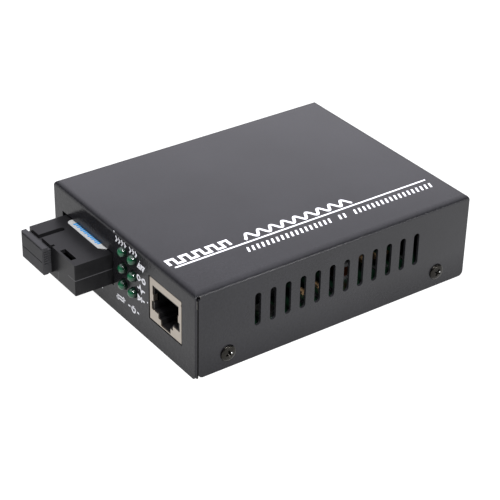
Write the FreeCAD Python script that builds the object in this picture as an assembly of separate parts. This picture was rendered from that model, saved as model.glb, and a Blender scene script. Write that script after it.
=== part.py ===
import FreeCAD, Part
import os

# Fibre media converter: a folded steel case with a single-fibre SC transceiver,
# six status lamps and a shielded RJ45 jack in front, and a DC inlet behind.
# Millimetres. Origin at the middle of the underside, +X to the right seen from
# the front, +Y to the rear, +Z up. The front panel faces -Y.

V = FreeCAD.Vector
X = V(1, 0, 0)
Y = V(0, 1, 0)
Z = V(0, 0, 1)

# ---- case -------------------------------------------------------------------
caseWidth = 73.0
caseDepth = 94.5
caseHeight = 27.0
sheet = 0.8                 # case steel
bendOuter = 1.7             # outside radius of the folds in the top
seamGap = 0.45              # at each upright corner, between its two walls
reliefRadius = 0.65         # round corner relief at the top of each seam
reliefSetback = 0.3         # its middle, from the inner face of the wall that overlaps
reliefZ = 25.25
sideCornerRadius = 1.5      # lower corners of the side walls
endCornerRadius = 1.0       # lower corners of the front and rear walls

frontY = -caseDepth / 2
rearY = caseDepth / 2
sideX = caseWidth / 2
innerFrontY = frontY + sheet
innerRearY = rearY - sheet
innerSideX = sideX - sheet

ventCount = 12
ventPitch = 5.0
ventWidth = 2.0
ventBottom = 10.05
ventTop = 20.4
ventMiddleY = 0.5

sideScrewY = 36.6
sideScrewZ = 4.85
sideScrewHole = 3.4

# ---- base tray --------------------------------------------------------------
baseEndGap = 0.2            # between the plate and the walls of the cover
flangeHeight = 9.0
flangeHalfLength = 43.5
flangeBend = 1.2
tabRelief = 0.5             # slit between the end of a flange and the tab beside it
flangeEndInset = 1.4        # the fold stops here, and flat tabs fill the corners
tapRadius = 1.5

# ---- M3 screws --------------------------------------------------------------
screwShankRadius = 1.45
sideHeadRadius = 2.4
sideHeadHeight = 0.85
sideHeadCrown = 0.45        # rise of the domed top
sideScrewLength = 4.0
boardHeadRadius = 2.75
boardHeadHeight = 1.6
boardScrewLength = 6.0

# ---- main board -------------------------------------------------------------
boardThickness = 1.6
boardTop = 8.0
boardBottom = boardTop - boardThickness
boardHalfWidth = 33.8
boardFrontY = -45.8
boardRearY = 45.4
boardHoleRadius = 1.7
standoffAcross = 5.0        # six-sided, across the flats
standoffTapStart = 1.6
fixingPoints = [(-30.2, -16.0), (30.2, -20.0), (-30.2, 41.5), (30.2, 41.5)]
pinTip = 5.2                # height of the soldered pin ends under the board
pinWidth = 0.5
pinHole = 0.9

# ---- SC transceiver ---------------------------------------------------------
moduleWidth = 25.6
moduleX = -17.4             # middle of the module
moduleBottom = 8.6
moduleTop = 18.4
moduleFrontY = -59.2
moduleLength = 39.0
moduleWall = 1.2
cellWidth = 12.8            # one port cell, half of the module
portWidth = 9.3
portHeight = 7.6
portDepth = 15.2
keyWidth = 1.8
keyLength = 7.8
moduleCutLeft = -32.1       # panel opening round the module
moduleCutRight = -4.2
moduleCutBottom = 8.2
moduleCutTop = 18.9
moduleCornerRadius = 0.3
moduleFoot = 2.0            # the module stands on four feet
moduleFootInset = 1.5
portNotchWidth = 0.9        # small notch between the two cells
portNotchDepth = 1.0
windowLeft = 3.5            # opening in the blind cell's roof, from the cell's edge
windowRight = 9.6
windowFront = 0.7           # from the module's front
windowRear = 2.45
bayWall = 1.6               # between the port and the bays beside and behind it
bayFrontWall = 0.65
moduleCavityBore = 2.5
pinPitch = 2.54
modulePinCount = 9
modulePinY = -24.0
modulePinTop = 13.0

moduleLeft = moduleX - moduleWidth / 2
moduleRight = moduleX + moduleWidth / 2
moduleRearY = moduleFrontY + moduleLength
portX = moduleLeft + cellWidth / 2
portZ = (moduleBottom + moduleTop) / 2
splitZ = portZ              # the two shells meet at mid height

labelThickness = 0.12
labelLeftInset = 3.6
labelRightInset = 2.9
labelProud = 1.9            # how far the label comes out in front of the panel
labelLength = 19.0
labelRound = 1.3            # left front corner
labelCut = 1.7              # right front corner

clipPlate = 1.6
clipArmLength = 6.6
clipArmThickness = 0.9
clipArmHeight = 3.2
clipHook = 0.55
clipHookLength = 1.3
clipClearance = 0.05

opticSetback = 8.2          # the barrel's nose in front of the port's floor
opticBore = 1.62
opticBoreDepth = 8.2
barrelRadius = 2.45
barrelLength = 9.8
opticFlangeRadius = 3.4
opticFlange = 2.8
filterSize = 6.0            # square block with the wavelength filter
filterLength = 5.4
canRadius = 2.7
canLength = 3.6
sleeveRadius = 1.6
sleeveBore = 1.25
sleeveLength = 8.0
sleeveSlit = 0.4

innerBoardBottom = 11.6
innerBoardThickness = 1.0
innerBoardLength = 6.6
innerBoardGap = 0.3
driverLength = 4.0
driverWidth = 1.6

# ---- dust plug --------------------------------------------------------------
plugHeadWidth = 12.3
plugHeadThickness = 1.65
plugFrontY = -62.0
plugBottom = 9.5
plugTop = 18.15
plugNeckDrop = 0.9          # the neck's top lies this far below the head's
plugBodyWidth = 8.9
plugBodyHeight = 7.2
plugBodyTipY = -53.1
plugWall = 1.1
plugHeadRadius = 0.35
plugTipRadius = 0.5
plugGroove = 0.28
plugGrooveDepth = 0.25
plugGrooveDrop = 0.62       # the upper groove under the head's top
plugRibCount = 6            # grip notches in both ends of the head
plugRibPitch = 0.75
plugRibGap = 0.35
plugRibDepth = 0.3

# ---- RJ45 jack --------------------------------------------------------------
jackX = 22.5
jackWidth = 15.4
jackHeight = 13.3
jackDepth = 21.3
jackFrontY = frontY
jackSheet = 0.3
jackBend = 0.35             # folds along the top of the shield
jackCutLeft = 14.2          # panel opening round the jack, widest on its left
jackCutRight = 30.45
jackCutBottom = boardTop - 0.5
jackCutTop = boardTop + 13.5
jackNotchDrop = 1.0         # small notch in the face's right edge, below its top
jackNotch = 0.35
windowWidth = 12.7
windowTop = boardTop + 11.15
windowLedge = boardTop + 3.35
latchWideWidth = 7.1
latchStepZ = boardTop + 2.0
latchNarrowWidth = 4.75
jackLegYs = [jackFrontY + 7.0, jackFrontY + 13.5]
jackLegWidth = 1.6
jackTongueBottom = boardTop + 6.1
jackTongueTop = boardTop + 8.2
jackTongueWidth = 0.7
jackTongueReach = 0.3       # into the window
jackTongueLength = 1.4
jackSlotReach = 0.5         # the window is this much wider under the tongues
mouldGap = 0.05             # between the mouldings and the shield
cavityWidth = 11.8
cavityTop = boardTop + 10.5
cavityLedge = boardTop + 3.55
cavityLatchWidth = 6.5
cavityLatchNarrow = 4.3
cavityFloor = boardTop + 0.5
carrierY = -33.0            # front face of the contact carrier
contactCount = 8
contactPitch = 1.02
contactWidth = 0.46
contactThickness = 0.3
contactReach = 10.3         # from the carrier to the hairpin at the mouth
contactTail = 2.6           # first row of tails behind the carrier's face
contactRowStep = 2.5

# ---- status lamps -----------------------------------------------------------
lampRadius = 1.5
lampLength = 6.1
lampTipY = frontY - 1.9
lampColumns = [1.6, 6.6]
lampRows = [22.3, 17.0, 11.7]
lampHole = 1.65
lampLeadOffset = 1.27
lampBlockWidth = 4.4
lampBlockFrontY = -46.2
lampBlockHeadroom = 2.2
lampLeadStart = 0.9
lampLeadStep = 1.3

# ---- DC inlet ---------------------------------------------------------------
inletX = -22.0
inletWidth = 9.0
inletHeight = 11.0
inletLength = 14.2
inletBoreRadius = 3.2
inletBoreDepth = 9.6
inletAxisZ = boardTop + 6.5
inletFaceThickness = 3.4
inletPinRadius = 1.05
inletPinSetback = 0.9
inletCutGap = 0.25
inletTerminalYs = [rearY - inletLength + 1.0, rearY - inletLength + 6.0]
inletTerminalWidth = 2.6
inletTerminalThickness = 0.4
inletTerminalTop = boardTop + 1.6


def block(x0, x1, y0, y1, z0, z1):
    return Part.makeBox(x1 - x0, y1 - y0, z1 - z0, V(x0, y0, z0))


def rod(radius, length, start, direction):
    return Part.makeCylinder(radius, length, start, direction)


def turned(points, start, direction):
    """Solid of revolution: (radius, height) points turned about Z, then set in place."""
    outline = [V(r, 0, h) for r, h in points]
    face = Part.Face(Part.makePolygon(outline + outline[:1]))
    solid = face.revolve(V(0, 0, 0), Z, 360)
    solid.Placement = FreeCAD.Placement(start, FreeCAD.Rotation(Z, direction))
    return solid


def prism_x(points, x0, x1):
    """Outline of (y, z) points swept along X."""
    outline = [V(x0, y, z) for y, z in points]
    return Part.Face(Part.makePolygon(outline + outline[:1])).extrude(V(x1 - x0, 0, 0))


def strip(points, thickness, x0, width):
    """A bent strip or wire: (y, z) centre line, mitred at its bends, swept along X."""
    half = thickness / 2
    count = len(points)
    left = []
    right = []
    for i in range(count):
        before = points[max(i - 1, 0)]
        here = points[i]
        after = points[min(i + 1, count - 1)]
        a = V(here[0] - before[0], here[1] - before[1], 0)
        b = V(after[0] - here[0], after[1] - here[1], 0)
        a = b if a.Length == 0 else a
        b = a if b.Length == 0 else b
        a.normalize()
        b.normalize()
        normal = V(-a.y - b.y, a.x + b.x, 0)
        normal.normalize()
        reach = half / normal.dot(V(-a.y, a.x, 0))
        left.append((here[0] + normal.x * reach, here[1] + normal.y * reach))
        right.append((here[0] - normal.x * reach, here[1] - normal.y * reach))
    return prism_x(left + right[::-1], x0, x0 + width)


def obround_x(width, z0, z1, y, x0, x1):
    """Upright slot with round ends, cut along X."""
    r = width / 2
    middle = block(x0, x1, y - r, y + r, z0 + r, z1 - r)
    low = rod(r, x1 - x0, V(x0, y, z0 + r), X)
    high = rod(r, x1 - x0, V(x0, y, z1 - r), X)
    return middle.fuse([low, high])


def hexagon(across, height, start):
    """Six-sided bar, `across` wide over its flats, standing on `start`."""
    corner = V(0, across / 3 ** 0.5, 0)
    turns = [FreeCAD.Rotation(Z, 60 * i).multVec(corner) + start for i in range(6)]
    return Part.Face(Part.makePolygon(turns + turns[:1])).extrude(Z * height)


def square_pin(width, x, y, z0, z1):
    half = width / 2
    return block(x - half, x + half, y - half, y + half, z0, z1)


def fused(shapes):
    return shapes[0].fuse(shapes[1:]).removeSplitter()


def round_top_box(width, depth, low, high, radius):
    """Block whose four top edges carry the fold radius."""
    body = block(-width / 2, width / 2, -depth / 2, depth / 2, low, high)
    top = [e for e in body.Edges if min(v.Z for v in e.Vertexes) > high - 0.01]
    return body.makeFillet(radius, top)


def edges_where(shape, test):
    return [e for e in shape.Edges if all(test(v) for v in e.Vertexes)]


# ---- case parts -------------------------------------------------------------

def side_wall_corner(side, end):
    """What is trimmed off one lower corner of a side wall."""
    r = sideCornerRadius
    corner = rearY if end > 0 else innerFrontY + seamGap
    x0 = min(side * innerSideX, side * (sideX + 1))
    y0 = min(corner, corner - end * r)
    square = block(x0, x0 + sheet + 1, y0, y0 + r, -1, r)
    return square.cut(rod(r, sheet + 1, V(x0, corner - end * r, r), X))


def end_wall_corner(side, end):
    """What is trimmed off one lower corner of the front or rear wall."""
    r = endCornerRadius
    corner = side * (innerSideX - seamGap if end > 0 else sideX)
    x0 = min(corner, corner - side * r)
    y0 = min(end * rearY, end * innerRearY)
    square = block(x0, x0 + r, y0, y0 + sheet, -1, r)
    return square.cut(rod(r, sheet, V(corner - side * r, y0, r), Y))


def front_seam(side):
    """Gap and round relief where the front wall overlaps the end of a side wall."""
    x0 = min(side * innerSideX, side * (sideX + 1))
    gap = block(x0, x0 + sheet + 1, innerFrontY, innerFrontY + seamGap, -1, reliefZ)
    start = V(side * (innerSideX - sheet), innerFrontY + reliefSetback, reliefZ)
    return gap.fuse(rod(reliefRadius, 3 * sheet, start, X * side))


def rear_seam(side):
    """Gap and round relief where a side wall overlaps the end of the rear wall."""
    edge = side * innerSideX
    x0 = min(edge, edge - side * seamGap)
    gap = block(x0, x0 + seamGap, innerRearY, rearY + 1, -1, reliefZ)
    start = V(edge - side * reliefSetback, innerRearY - sheet, reliefZ)
    return gap.fuse(rod(reliefRadius, 3 * sheet, start, Y))


def vent_positions():
    first = ventMiddleY - ventPitch * (ventCount - 1) / 2
    return [first + ventPitch * i for i in range(ventCount)]


def case_cover():
    """One sheet: top, front, rear and both sides, open below, seamed at the corners."""
    outer = round_top_box(caseWidth, caseDepth, 0, caseHeight, bendOuter)
    inner = round_top_box(caseWidth - 2 * sheet, caseDepth - 2 * sheet, -1,
                          caseHeight - sheet, bendOuter - sheet)
    cuts = []
    for side in (-1, 1):
        cuts.append(front_seam(side))
        cuts.append(rear_seam(side))
        for end in (-1, 1):
            cuts.append(side_wall_corner(side, end))
            cuts.append(end_wall_corner(side, end))
    for y in vent_positions():
        cuts.append(obround_x(ventWidth, ventBottom, ventTop, y, -sideX - 1, sideX + 1))
    for y in (-sideScrewY, sideScrewY):
        cuts.append(rod(sideScrewHole / 2, caseWidth + 2, V(-sideX - 1, y, sideScrewZ), X))
    for x in lampColumns:
        for z in lampRows:
            cuts.append(rod(lampHole, 3, V(x, frontY - 1, z), Y))
    cuts.append(block(moduleCutLeft, moduleCutRight, frontY - 1, innerFrontY + 1,
                      moduleCutBottom, moduleCutTop))
    cuts.append(block(jackCutLeft, jackCutRight, frontY - 1, innerFrontY + 1,
                      jackCutBottom, jackCutTop))
    half = inletWidth / 2 + inletCutGap
    cuts.append(block(inletX - half, inletX + half, rearY - 2, rearY + 1,
                      boardTop - inletCutGap, boardTop + inletHeight + inletCutGap))
    return outer.cut(inner).cut(cuts)


def tray_corner(side, end):
    """Where the fold is trimmed off at one corner of the tray, and the flat tab left there."""
    foldX = side * (innerSideX - flangeEndInset)
    endY = end * flangeHalfLength
    outerX = side * sideX
    outerY = end * rearY
    trim = block(min(foldX, outerX), max(foldX, outerX), min(endY, outerY), max(endY, outerY),
                 -1, flangeHeight + 1)
    tabX = side * (innerSideX - baseEndGap)
    slitY = end * (flangeHalfLength + tabRelief)
    tabY = end * (innerRearY - baseEndGap)
    tab = block(min(foldX, tabX), max(foldX, tabX), min(slitY, tabY), max(slitY, tabY), 0, sheet)
    return trim, tab


def base_tray():
    """Bottom plate with a flange folded up inside each side wall."""
    halfY = innerRearY - baseEndGap
    outer = block(-innerSideX, innerSideX, -halfY, halfY, 0, flangeHeight)
    folds = edges_where(outer, lambda v: v.Z < 0.01)
    folds = [e for e in folds if abs(e.Vertexes[0].X - e.Vertexes[1].X) < 0.01]
    outer = outer.makeFillet(flangeBend, folds)
    inner = block(-innerSideX + sheet, innerSideX - sheet, -halfY - 1, halfY + 1,
                  sheet, flangeHeight + 1)
    folds = edges_where(inner, lambda v: v.Z < sheet + 0.01)
    folds = [e for e in folds if abs(e.Vertexes[0].X - e.Vertexes[1].X) < 0.01]
    inner = inner.makeFillet(flangeBend - sheet, folds)
    tray = outer.cut(inner)
    corners = [tray_corner(side, end) for side in (-1, 1) for end in (-1, 1)]
    cuts = [trim for trim, tab in corners]
    for side in (-1, 1):
        for y in (-sideScrewY, sideScrewY):
            cuts.append(rod(tapRadius, 4 * sheet, V(side * sideX, y, sideScrewZ), X * -side))
    return fused([tray.cut(cuts)] + [tab for trim, tab in corners])


def cover_screws():
    """M3 pan-head screws with low domed heads, two in each side wall."""
    crown = (sideHeadRadius ** 2 + sideHeadCrown ** 2) / (2 * sideHeadCrown)
    screws = []
    for side in (-1, 1):
        for y in (-sideScrewY, sideScrewY):
            seat = V(side * sideX, y, sideScrewZ)
            outward = X * side
            dome = Part.makeSphere(crown, seat + outward * (sideHeadHeight - crown), outward)
            head = rod(sideHeadRadius, sideHeadHeight, seat, outward).common(dome)
            shank = rod(screwShankRadius, sideScrewLength, seat, outward * -1)
            screws.append(fused([head, shank]))
    return Part.makeCompound(screws)


def board_standoffs():
    """Six-sided spacers on the tray, tapped for the board screws."""
    spacers = []
    for x, y in fixingPoints:
        body = hexagon(standoffAcross, boardBottom - sheet, V(x, y, sheet))
        tap = rod(tapRadius, boardBottom, V(x, y, standoffTapStart), Z)
        spacers.append(body.cut(tap))
    return Part.makeCompound(spacers)


def board_screws():
    """Flat cheese-head screws, down through the board into the spacers."""
    screws = []
    for x, y in fixingPoints:
        head = rod(boardHeadRadius, boardHeadHeight, V(x, y, boardTop), Z)
        shank = rod(screwShankRadius, boardScrewLength, V(x, y, boardTop - boardScrewLength), Z)
        screws.append(fused([head, shank]))
    return Part.makeCompound(screws)


# ---- SC transceiver ---------------------------------------------------------

def module_pin_xs():
    return [moduleX + pinPitch * (i - (modulePinCount - 1) / 2) for i in range(modulePinCount)]


def module_body():
    """Both shells of the transceiver as one, before they are parted at mid height."""
    body = block(moduleLeft, moduleRight, moduleFrontY, moduleRearY, moduleBottom, moduleTop)
    upright = [e for e in body.Edges if abs(e.Vertexes[0].Z - e.Vertexes[1].Z) > 1]
    body = body.makeFillet(moduleCornerRadius, upright)
    feet = []
    for x in (moduleLeft + moduleFootInset, moduleRight - moduleFootInset):
        for y in (boardFrontY + moduleFoot, moduleRearY - moduleFoot):
            feet.append(square_pin(moduleFoot, x, y, boardTop, moduleBottom))
    body = fused([body] + feet)
    halfW = portWidth / 2
    halfH = portHeight / 2
    port = block(portX - halfW, portX + halfW, moduleFrontY - 1, moduleFrontY + portDepth,
                 portZ - halfH, portZ + halfH)
    key = block(portX - keyWidth / 2, portX + keyWidth / 2, moduleFrontY - 1,
                moduleFrontY + keyLength - keyWidth / 2, portZ, moduleTop + 1)
    keyEnd = rod(keyWidth / 2, moduleTop + 1 - portZ,
                 V(portX, moduleFrontY + keyLength - keyWidth / 2, portZ), Z)
    cellEdge = moduleLeft + cellWidth
    notch = block(cellEdge - portNotchWidth / 2, cellEdge + portNotchWidth / 2,
                  moduleFrontY - 1, moduleFrontY + portNotchDepth,
                  moduleTop - moduleWall, moduleTop + 1)
    window = block(cellEdge + windowLeft, cellEdge + windowRight, moduleFrontY + windowFront,
                   moduleFrontY + windowRear, portZ, moduleTop + 1)
    low = moduleBottom + moduleWall
    high = moduleTop - moduleWall
    portFloor = moduleFrontY + portDepth
    rightBay = block(cellEdge + bayWall, moduleRight - moduleWall,
                     moduleFrontY + bayFrontWall, portFloor, low, high)
    rearBay = block(moduleLeft + moduleWall, moduleRight - moduleWall, portFloor + bayWall,
                    moduleRearY - moduleWall, low, high)
    barrel = rod(moduleCavityBore, 2 * bayWall, V(portX, portFloor - bayWall / 2, portZ), Y)
    pins = [square_pin(pinWidth, x, modulePinY, moduleBottom - 1, low + 1)
            for x in module_pin_xs()]
    return body.cut([port, key, keyEnd, notch, window, rightBay, rearBay, barrel] + pins)


def transceiver_lower_shell():
    half = block(moduleLeft, moduleRight, moduleFrontY, moduleRearY, 0, splitZ)
    return module_body().common(half)


def transceiver_upper_shell():
    half = block(moduleLeft, moduleRight, moduleFrontY, moduleRearY, splitZ, moduleTop)
    return module_body().common(half)


def latch_clip():
    """Two hooked arms that hold an SC plug, on a plate at the port's floor."""
    portFloor = moduleFrontY + portDepth
    plateFront = portFloor - clipPlate
    tip = plateFront - clipArmLength
    halfW = portWidth / 2 - clipClearance
    halfH = portHeight / 2 - clipClearance
    low = portZ - clipArmHeight / 2
    plate = block(portX - halfW, portX + halfW, plateFront, portFloor, portZ - halfH,
                  portZ + halfH)
    arms = []
    for side in (-1, 1):
        outer = portX + side * halfW
        inner = outer - side * clipArmThickness
        hook = inner - side * clipHook
        outline = [V(outer, plateFront, low), V(outer, tip, low), V(inner, tip, low),
                   V(hook, tip + clipHookLength * 0.7, low), V(hook, tip + clipHookLength, low),
                   V(inner, tip + clipHookLength, low), V(inner, plateFront, low)]
        arms.append(Part.Face(Part.makePolygon(outline + outline[:1])).extrude(Z * clipArmHeight))
    bore = rod(moduleCavityBore, 2 * clipPlate, V(portX, plateFront - clipPlate / 2, portZ), Y)
    return fused([plate] + arms).cut(bore)


def optical_subassembly():
    """Turned nose and flange, square filter block, laser can and receiver can."""
    nose = moduleFrontY + portDepth - opticSetback
    shoulder = barrelLength + opticFlange
    profile = [(opticBore, 0), (barrelRadius, 0), (barrelRadius, barrelLength),
               (opticFlangeRadius, barrelLength), (opticFlangeRadius, shoulder), (0, shoulder),
               (0, opticBoreDepth), (opticBore, opticBoreDepth)]
    barrel = turned(profile, V(portX, nose, portZ), Y)
    half = filterSize / 2
    blockFront = nose + shoulder
    blockRear = blockFront + filterLength
    filterBlock = block(portX - half, portX + half, blockFront, blockRear, portZ - half,
                        portZ + half)
    laserCan = rod(canRadius, canLength, V(portX, blockRear, portZ), Y)
    receiverCan = rod(canRadius, canLength,
                      V(portX + half, (blockFront + blockRear) / 2, portZ), X)
    return fused([barrel, filterBlock, laserCan, receiverCan])


def ferrule_sleeve():
    """Split ceramic sleeve that lines up the plug's ferrule."""
    boreEnd = moduleFrontY + portDepth - opticSetback + opticBoreDepth
    start = V(portX, boreEnd - sleeveLength, portZ)
    tube = rod(sleeveRadius, sleeveLength, start, Y).cut(rod(sleeveBore, sleeveLength, start, Y))
    slit = block(portX - sleeveSlit / 2, portX + sleeveSlit / 2, start.y - 1,
                 start.y + sleeveLength + 1, portZ, portZ + sleeveRadius + 1)
    return tube.cut(slit)


def transceiver_board():
    top = innerBoardBottom + innerBoardThickness
    inset = moduleWall + innerBoardGap
    rear = moduleRearY - inset
    plate = block(moduleLeft + inset, moduleRight - inset, rear - innerBoardLength, rear,
                  innerBoardBottom, top)
    driver = block(moduleX + 1.5, moduleX + 1.5 + driverLength, modulePinY - 0.6 - driverWidth,
                   modulePinY - 0.6, top, top + 1.0)
    holes = [square_pin(pinWidth, x, modulePinY, innerBoardBottom - 1, top + 1)
             for x in module_pin_xs()]
    return plate.fuse(driver).removeSplitter().cut(holes)


def transceiver_pins():
    pins = [square_pin(pinWidth, x, modulePinY, pinTip, modulePinTop) for x in module_pin_xs()]
    return Part.makeCompound(pins)


def transceiver_label():
    """Thin sticker on the module, one front corner round and the other cut off."""
    front = frontY - labelProud
    label = block(moduleLeft + labelLeftInset, moduleRight - labelRightInset, front,
                  front + labelLength, moduleTop, moduleTop + labelThickness)
    corners = edges_where(label, lambda v: v.Y < front + 0.01)
    corners = [e for e in corners if abs(e.Vertexes[0].Z - e.Vertexes[1].Z) > 0.01]
    corners.sort(key=lambda e: e.Vertexes[0].X)
    label = label.makeFillet(labelRound, corners[:1])
    cut = edges_where(label, lambda v: v.Y < front + 0.01 and v.X > moduleX)
    cut = [e for e in cut if abs(e.Vertexes[0].Z - e.Vertexes[1].Z) > 0.01]
    return label.makeChamfer(labelCut, cut)


def dust_plug():
    """Soft plug: grooved head, shallow neck and a hollow body in the SC port."""
    x0 = portX - plugHeadWidth / 2
    x1 = portX + plugHeadWidth / 2
    headBack = plugFrontY + plugHeadThickness
    head = block(x0, x1, plugFrontY, headBack, plugBottom, plugTop)
    rim = edges_where(head, lambda v: v.Y < plugFrontY + 0.01)
    head = head.makeFillet(plugHeadRadius, rim)
    neckBack = moduleFrontY - 0.06
    neck = block(x0 + 0.25, x1 - 0.15, headBack, neckBack, plugBottom + 0.1,
                 plugTop - plugNeckDrop)
    halfW = plugBodyWidth / 2
    halfH = plugBodyHeight / 2
    body = block(portX - halfW, portX + halfW, neckBack, plugBodyTipY, portZ - halfH,
                 portZ + halfH)
    tip = edges_where(body, lambda v: v.Y > plugBodyTipY - 0.01)
    body = body.makeFillet(plugTipRadius, tip)
    hollow = block(portX - halfW + plugWall, portX + halfW - plugWall, headBack + 0.6,
                   plugBodyTipY + 1, portZ - halfH + plugWall, portZ + halfH - plugWall)
    grooves = [block(x0 + 0.5, x1 - 0.4, plugFrontY - 1, plugFrontY + plugGrooveDepth, z,
                     z + plugGroove)
               for z in (splitZ - plugGroove / 2, plugTop - plugGrooveDrop)]
    ribs = []
    for i in range(plugRibCount):
        z = plugTop - 1.2 - plugRibPitch * i
        for side in (x0 - 1 + plugRibDepth, x1 - plugRibDepth):
            ribs.append(block(side, side + 1, plugFrontY + plugHeadRadius, headBack + 1,
                              z - plugRibGap, z))
    return fused([head, neck, body]).cut([hollow] + grooves + ribs)


# ---- RJ45 jack --------------------------------------------------------------

def keyed_opening(width, top, ledge, wide, stepZ, narrow, bottom, y0, y1):
    """Plug opening with the two-step latch way below it."""
    mouth = block(jackX - width / 2, jackX + width / 2, y0, y1, ledge, top)
    upper = block(jackX - wide / 2, jackX + wide / 2, y0, y1, stepZ, ledge)
    lower = block(jackX - narrow / 2, jackX + narrow / 2, y0, y1, bottom, stepZ)
    return fused([mouth, upper, lower])


def jack_shield():
    """Drawn shield: windowed face, top, sides and back, with board legs and tongues."""
    half = jackWidth / 2
    rear = jackFrontY + jackDepth
    top = boardTop + jackHeight
    outer = block(jackX - half, jackX + half, jackFrontY, rear, boardTop, top)
    folds = edges_where(outer, lambda v: v.Z > top - 0.01)
    folds = [e for e in folds if abs(e.Vertexes[0].X - e.Vertexes[1].X) < 0.01]
    outer = outer.makeFillet(jackBend, folds)
    inner = block(jackX - half + jackSheet, jackX + half - jackSheet, jackFrontY + jackSheet,
                  rear - jackSheet, boardTop - 1, top - jackSheet)
    window = keyed_opening(windowWidth, windowTop, windowLedge, latchWideWidth, latchStepZ,
                           latchNarrowWidth, boardTop + jackSheet, jackFrontY - 1,
                           jackFrontY + 1)
    reach = windowWidth / 2 + jackSlotReach
    slots = block(jackX - reach, jackX + reach, jackFrontY - 1, jackFrontY + 1, windowLedge,
                  jackTongueBottom)
    notch = block(jackX + half - jackNotch, jackX + half + 1, jackFrontY - 1, jackFrontY + 1,
                  top - jackNotchDrop - jackNotch, top - jackNotchDrop)
    shield = outer.cut([inner, window, slots, notch])
    extras = []
    for side in (-1, 1):
        x = jackX + side * (half - jackSheet / 2)
        for y in jackLegYs:
            extras.append(block(x - jackSheet / 2, x + jackSheet / 2, y - jackLegWidth / 2,
                                y + jackLegWidth / 2, pinTip, boardTop))
        lip = jackX + side * (windowWidth / 2 - jackTongueReach + jackTongueWidth / 2)
        extras.append(block(lip - jackTongueWidth / 2, lip + jackTongueWidth / 2, jackFrontY,
                            jackFrontY + jackTongueLength, jackTongueBottom, jackTongueTop))
    return fused([shield] + extras)


def jack_housing():
    """Moulded front of the jack with the plug cavity and the latch way."""
    half = jackWidth / 2 - jackSheet - mouldGap
    front = jackFrontY + jackSheet + mouldGap
    body = block(jackX - half, jackX + half, front, carrierY, boardTop,
                 boardTop + jackHeight - jackSheet - mouldGap)
    cavity = keyed_opening(cavityWidth, cavityTop, cavityLedge, cavityLatchWidth,
                           latchStepZ + 0.1, cavityLatchNarrow, cavityFloor, front - 1,
                           carrierY + 1)
    edge = cavityWidth / 2
    pocket = block(jackX - edge - 1.1, jackX + edge + 1.1, front - 1,
                   front + jackTongueLength + 0.2, jackTongueBottom - 0.2, jackTongueTop + 0.2)
    return body.cut([cavity, pocket])


def contact_xs():
    start = jackX - contactPitch * (contactCount - 1) / 2 - contactWidth / 2
    return [start + contactPitch * i for i in range(contactCount)]


def contact_tail_y(index):
    """The tails stand in two staggered rows."""
    return carrierY + contactTail + (0 if index % 2 else contactRowStep)


def jack_contact(index, x):
    """Spring wire: free end in the cavity, hairpin at the front, tail through the board."""
    tail = contact_tail_y(index)
    roof = cavityTop - 0.35
    hairpin = carrierY - contactReach
    path = [(carrierY - 2.6, cavityTop - 2.35), (hairpin + 0.3, roof - 0.7), (hairpin, roof),
            (tail, roof), (tail, pinTip)]
    return strip(path, contactThickness, x, contactWidth)


def jack_contacts():
    return Part.makeCompound([jack_contact(i, x) for i, x in enumerate(contact_xs())])


def jack_carrier():
    """Rear block that the eight contacts are moulded into."""
    half = jackWidth / 2 - jackSheet - mouldGap
    rear = jackFrontY + jackDepth - jackSheet - mouldGap
    body = block(jackX - half, jackX + half, carrierY, rear, boardTop,
                 boardTop + jackHeight - jackSheet - mouldGap)
    return body.cut([jack_contact(i, x) for i, x in enumerate(contact_xs())])


# ---- status lamps -----------------------------------------------------------

def status_lamp(x, z):
    """3 mm lamp with a domed lens, axis along Y."""
    centre = V(x, lampTipY + lampRadius, z)
    return fused([rod(lampRadius, lampLength - lampRadius, centre, Y),
                  Part.makeSphere(lampRadius, centre, Y)])


def lamp_block(x):
    """Moulded spacer that stands on the board and holds one column of lamps."""
    half = lampBlockWidth / 2
    back = lampTipY + lampLength
    body = block(x - half, x + half, lampBlockFrontY, back, boardTop,
                 lampRows[0] + lampBlockHeadroom)
    r = lampRadius
    pockets = [block(x - r, x + r, lampBlockFrontY - 1, back + 1, z - r, z + r)
               for z in lampRows]
    return body.cut(pockets)


def lamp_lead_y(row):
    """Upper rows stand further back, so that the leads pass one another."""
    return lampTipY + lampLength + lampLeadStart + lampLeadStep * (len(lampRows) - 1 - row)


def lamp_leads():
    leads = []
    start = lampTipY + lampLength
    for x in lampColumns:
        for row, z in enumerate(lampRows):
            back = lamp_lead_y(row)
            for side in (-1, 1):
                x0 = x + side * lampLeadOffset - pinWidth / 2
                path = [(start, z), (back, z), (back, pinTip)]
                leads.append(strip(path, pinWidth, x0, pinWidth))
    return Part.makeCompound(leads)


# ---- DC inlet ---------------------------------------------------------------

def inlet_housing():
    """Moulded barrel jack: square face, body with a round back over a flat base."""
    half = inletWidth / 2
    front = rearY - inletLength
    faceBack = rearY - inletFaceThickness
    face = block(inletX - half, inletX + half, faceBack, rearY, boardTop,
                 boardTop + inletHeight)
    foot = block(inletX - half, inletX + half, front, faceBack, boardTop, inletAxisZ)
    barrel = rod(half, faceBack - front, V(inletX, front, inletAxisZ), Y)
    bore = rod(inletBoreRadius, inletBoreDepth, V(inletX, rearY - inletBoreDepth, inletAxisZ), Y)
    pinBore = rod(inletPinRadius, inletLength, V(inletX, front, inletAxisZ), Y)
    return fused([face, foot, barrel]).cut([bore, pinBore, inlet_terminals()])


def inlet_pin():
    start = V(inletX, rearY - inletLength, inletAxisZ)
    pin = rod(inletPinRadius, inletLength - inletPinSetback, start, Y)
    tip = [e for e in pin.Edges if min(v.Y for v in e.Vertexes) > rearY - inletPinSetback - 0.01]
    return pin.makeChamfer(inletPinRadius * 0.4, tip)


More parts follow.
